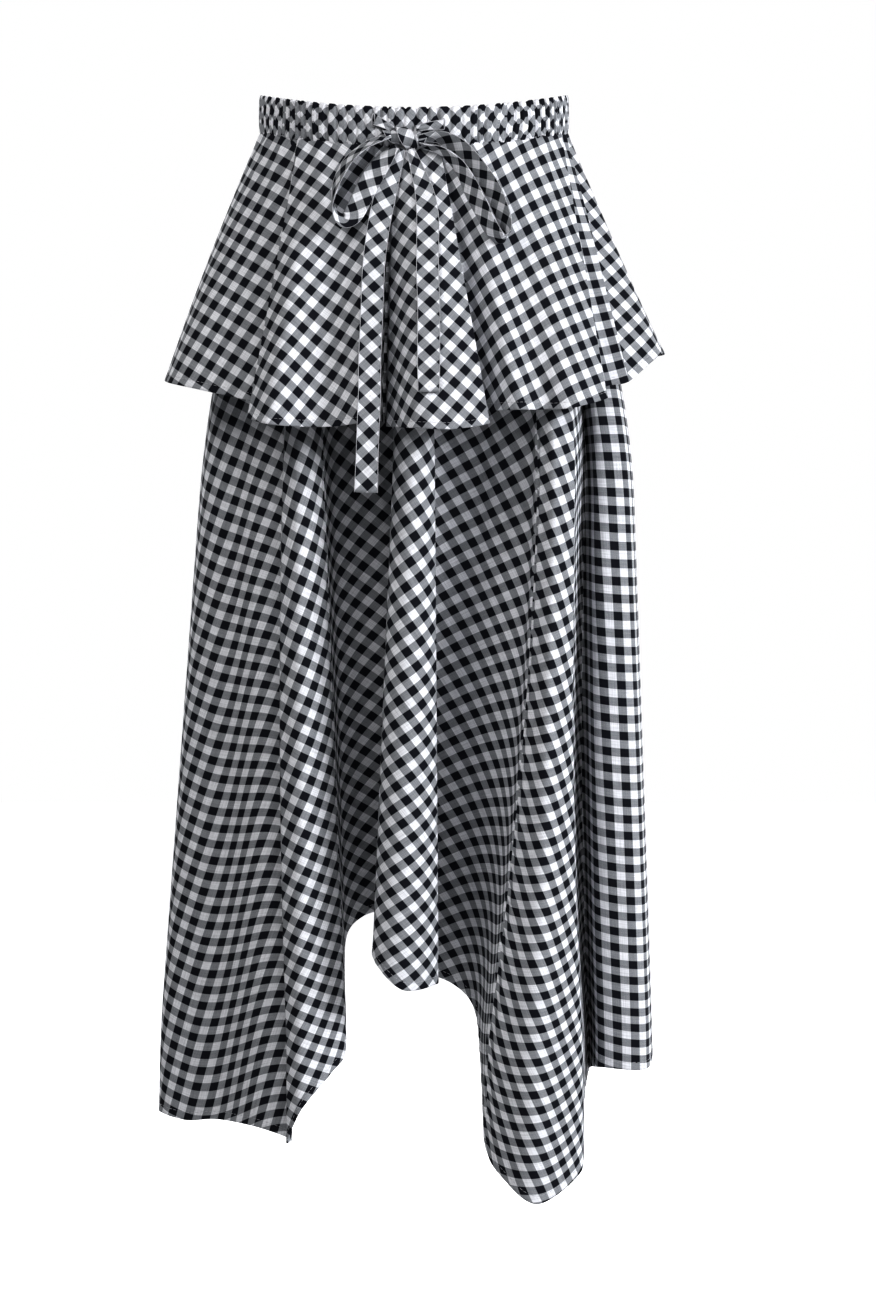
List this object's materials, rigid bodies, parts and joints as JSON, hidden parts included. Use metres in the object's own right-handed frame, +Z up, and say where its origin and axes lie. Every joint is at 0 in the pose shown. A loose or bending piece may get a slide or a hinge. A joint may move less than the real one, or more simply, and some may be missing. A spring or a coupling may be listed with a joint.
{
  "type": "handkerchief skirt",
  "caption": "Long worn skirt with a gathered waistband, short flared overskirt, pointed handkerchief hem and a front tie bow, hollow and open at waist and hem.",
  "frame": {"origin": "middle of the waistband, where the wearer's waist holds the skirt", "axes": "+Z up along the body, -Y towards the front with the bow, +X to the wearer's left"},
  "size_m": [0.4674, 0.351, 1.0063],
  "materials": {
    "band_cloth": "black and white gingham cotton cut on the bias, gathered over elastic",
    "skirt_cloth": "black and white gingham cotton, plain weave, matte",
    "tie_cloth": "the same gingham cotton cut on the bias, two layers, pressed edges"
  },
  "bodies": {
    "root": {"waistband": "band_cloth", "peplum_front": "skirt_cloth", "peplum_back": "skirt_cloth", "skirt_front": "skirt_cloth", "skirt_back": "skirt_cloth", "tie_knot": "tie_cloth", "tie_loop_left": "tie_cloth", "tie_loop_right": "tie_cloth", "tie_tail_left": "tie_cloth", "tie_tail_right": "tie_cloth", "tie_lead_left": "tie_cloth", "tie_lead_right": "tie_cloth"}
  },
  "joints": []
}
